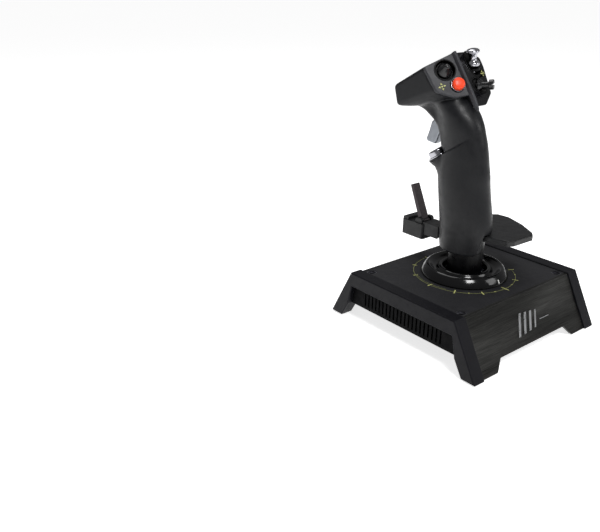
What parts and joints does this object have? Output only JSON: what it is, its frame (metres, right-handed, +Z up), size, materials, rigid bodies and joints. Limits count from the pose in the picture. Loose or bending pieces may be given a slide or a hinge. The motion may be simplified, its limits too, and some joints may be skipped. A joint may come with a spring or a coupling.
{
  "type": "flight joystick",
  "caption": "Force-sensing flight joystick: contoured hand grip with trigger, thumb hats, push buttons, pinky paddle and palm rest, on a square weighted base with vented sloping sides.",
  "frame": {"origin": "on the desk under the centre of the base", "axes": "+Z up, +Y away from the pilot, +X to the pilot's right"},
  "size_m": [0.19, 0.1928, 0.27],
  "materials": {
    "plate_black": "fine matte powder coat",
    "brushed_dark": "dark brushed, horizontal grain",
    "cheek_plastic": "smooth satin black",
    "collar_gloss": "gloss black",
    "grip_black": "soft satin black",
    "panel_grey": "dark grey, fine grain",
    "bezel_black": "gloss black",
    "chrome": "polished",
    "trigger_grey": "satin",
    "red": "orange red",
    "dial_ink": "yellow-green print",
    "white_ink": "white print",
    "badge_metal": "bright, satin",
    "steel": "plain",
    "cast": "dull",
    "alloy": "machined",
    "rubber": "matte",
    "board_green": "circuit board",
    "inner_plastic": "moulded",
    "brass": "turned",
    "rail_plastic": "moulded"
  },
  "bodies": {
    "base": {"left_cheek": "cheek_plastic", "right_cheek": "cheek_plastic", "deck_plate": "plate_black", "pilot_panel": "brushed_dark", "nose_panel": "brushed_dark", "left_vent_panel": "inner_plastic", "right_vent_panel": "inner_plastic", "bottom_plate": "plate_black", "rubber_feet": "rubber", "mounting_sleeves": "steel", "bottom_screws": "steel", "screw_rails": "rail_plastic", "ballast_plate": "cast", "main_board": "board_green", "link_socket": "inner_plastic", "usb_socket": "inner_plastic", "badge": "badge_metal", "dial_scale": "dial_ink", "swivel_bush": "brass", "bush_carrier": "alloy"},
    "turntable": {"collar": "collar_gloss", "collar_index": "white_ink", "turntable_hub": "alloy", "hub_nut": "alloy", "sensor_base": "alloy"},
    "roll_cell": {"roll_sensor": "alloy"},
    "pitch_cell": {"pitch_sensor": "alloy"},
    "stick": {"stick_shaft": "steel", "neck_sleeve": "collar_gloss", "grip_left_shell": "grip_black", "grip_right_shell": "grip_black", "left_thumb_panel": "panel_grey", "right_thumb_panel": "bezel_black", "centre_rib": "panel_grey", "paddle_bracket": "cheek_plastic", "paddle_pin": "steel", "trigger_pin": "steel", "trigger_switch": "inner_plastic", "nws_switch": "inner_plastic", "nws_rim": "chrome", "grip_board": "board_green", "grip_screws": "steel", "trim_hat_well": "inner_plastic", "view_hat_well": "inner_plastic", "castle_hat_well": "inner_plastic", "red_button_guard": "chrome", "red_button_switch": "inner_plastic", "thumb_marks": "dial_ink"},
    "trigger": {"trigger": "trigger_grey"},
    "nws_button": {"nws_button": "chrome"},
    "paddle": {"paddle_lever": "alloy"},
    "release": {"red_button": "red"},
    "trim_cradle": {"trim_hat_cradle": "steel"},
    "trim_cap": {"trim_hat_cap": "bezel_black"},
    "view_cradle": {"view_hat_cradle": "steel"},
    "view_cap": {"view_hat_cap": "chrome"},
    "castle_cradle": {"castle_hat_cradle": "steel"},
    "castle_cap": {"castle_hat_cap": "bezel_black"},
    "rest": {"hand_rest": "cheek_plastic"},
    "rest_screw": {"rest_thumbscrew": "inner_plastic"}
  },
  "joints": [
    {"name": "swivel_adjust", "type": "hinge", "parent": "base", "child": "turntable", "pos_m": [0, 0, 0.05], "axis": [0, 0, 1], "range_deg": [-30, 30]},
    {"name": "roll_flex", "type": "hinge", "parent": "turntable", "child": "roll_cell", "pos_m": [0, 0, 0.037], "axis": [0, 1, 0], "range_deg": [-2, 2], "stiffness_Nm_per_rad": 120},
    {"name": "pitch_flex", "type": "hinge", "parent": "roll_cell", "child": "pitch_cell", "pos_m": [0, 0, 0.037], "axis": [1, 0, 0], "range_deg": [-2, 2], "stiffness_Nm_per_rad": 120},
    {"name": "twist_flex", "type": "hinge", "parent": "pitch_cell", "child": "stick", "pos_m": [0, 0, 0.037], "axis": [0, 0, 1], "range_deg": [-2, 2], "stiffness_Nm_per_rad": 20},
    {"name": "trigger_pull", "type": "hinge", "parent": "stick", "child": "trigger", "pos_m": [0, 0.04, 0.203], "axis": [-1, 0, 0], "range_deg": [0, 10], "stiffness_Nm_per_rad": 0.6, "springref_deg": -6.88},
    {"name": "nws_press", "type": "slide", "parent": "stick", "child": "nws_button", "axis": [0.221, -0.5223, -0.8236], "range_m": [0, 0.002], "stiffness_N_per_m": 600, "springref_m": -0.002},
    {"name": "paddle_pull", "type": "hinge", "parent": "stick", "child": "paddle", "pos_m": [0, 0.058, 0.093], "axis": [1, 0, 0], "range_deg": [0, 10], "stiffness_Nm_per_rad": 0.5, "springref_deg": -6.88},
    {"name": "release_press", "type": "slide", "parent": "stick", "child": "release", "axis": [0.4425, 0.7268, -0.5253], "range_m": [0, 0.0015], "stiffness_N_per_m": 500, "springref_m": -0.002},
    {"name": "trim_hat_sideways", "type": "hinge", "parent": "stick", "child": "trim_cradle", "pos_m": [-0.01132, 0.0379, 0.24924], "axis": [0, 0.5858, 0.8105], "range_deg": [-8, 8], "stiffness_Nm_per_rad": 0.05},
    {"name": "trim_hat_fore_aft", "type": "hinge", "parent": "trim_cradle", "child": "trim_cap", "pos_m": [-0.01132, 0.0379, 0.24924], "axis": [0.8967, -0.3587, 0.2592], "range_deg": [-8, 8], "stiffness_Nm_per_rad": 0.05},
    {"name": "view_hat_sideways", "type": "hinge", "parent": "stick", "child": "view_cradle", "pos_m": [0.02056, 0.02911, 0.25048], "axis": [0, 1, 0], "range_deg": [-4, 4], "stiffness_Nm_per_rad": 0.05},
    {"name": "view_hat_fore_aft", "type": "hinge", "parent": "view_cradle", "child": "view_cap", "pos_m": [0.02056, 0.02911, 0.25048], "axis": [0.9837, 0, 0.1799], "range_deg": [-4, 4], "stiffness_Nm_per_rad": 0.05},
    {"name": "castle_hat_sideways", "type": "hinge", "parent": "stick", "child": "castle_cradle", "pos_m": [0.0139, 0.01995, 0.23652], "axis": [-0.0503, 0.0865, 0.995], "range_deg": [-8, 8], "stiffness_Nm_per_rad": 0.05},
    {"name": "castle_hat_fore_aft", "type": "hinge", "parent": "castle_cradle", "child": "castle_cap", "pos_m": [0.0139, 0.01995, 0.23652], "axis": [0.8645, 0.5026, 0], "range_deg": [-8, 8], "stiffness_Nm_per_rad": 0.05},
    {"name": "rest_height", "type": "slide", "parent": "stick", "child": "rest", "axis": [0, 0, 1], "range_m": [-0.005, 0]},
    {"name": "rest_screw_turn", "type": "hinge", "parent": "rest", "child": "rest_screw", "pos_m": [0.0352, 0.012, 0.0858], "axis": [1, 0, 0], "range_deg": [-180, 180]}
  ]
}
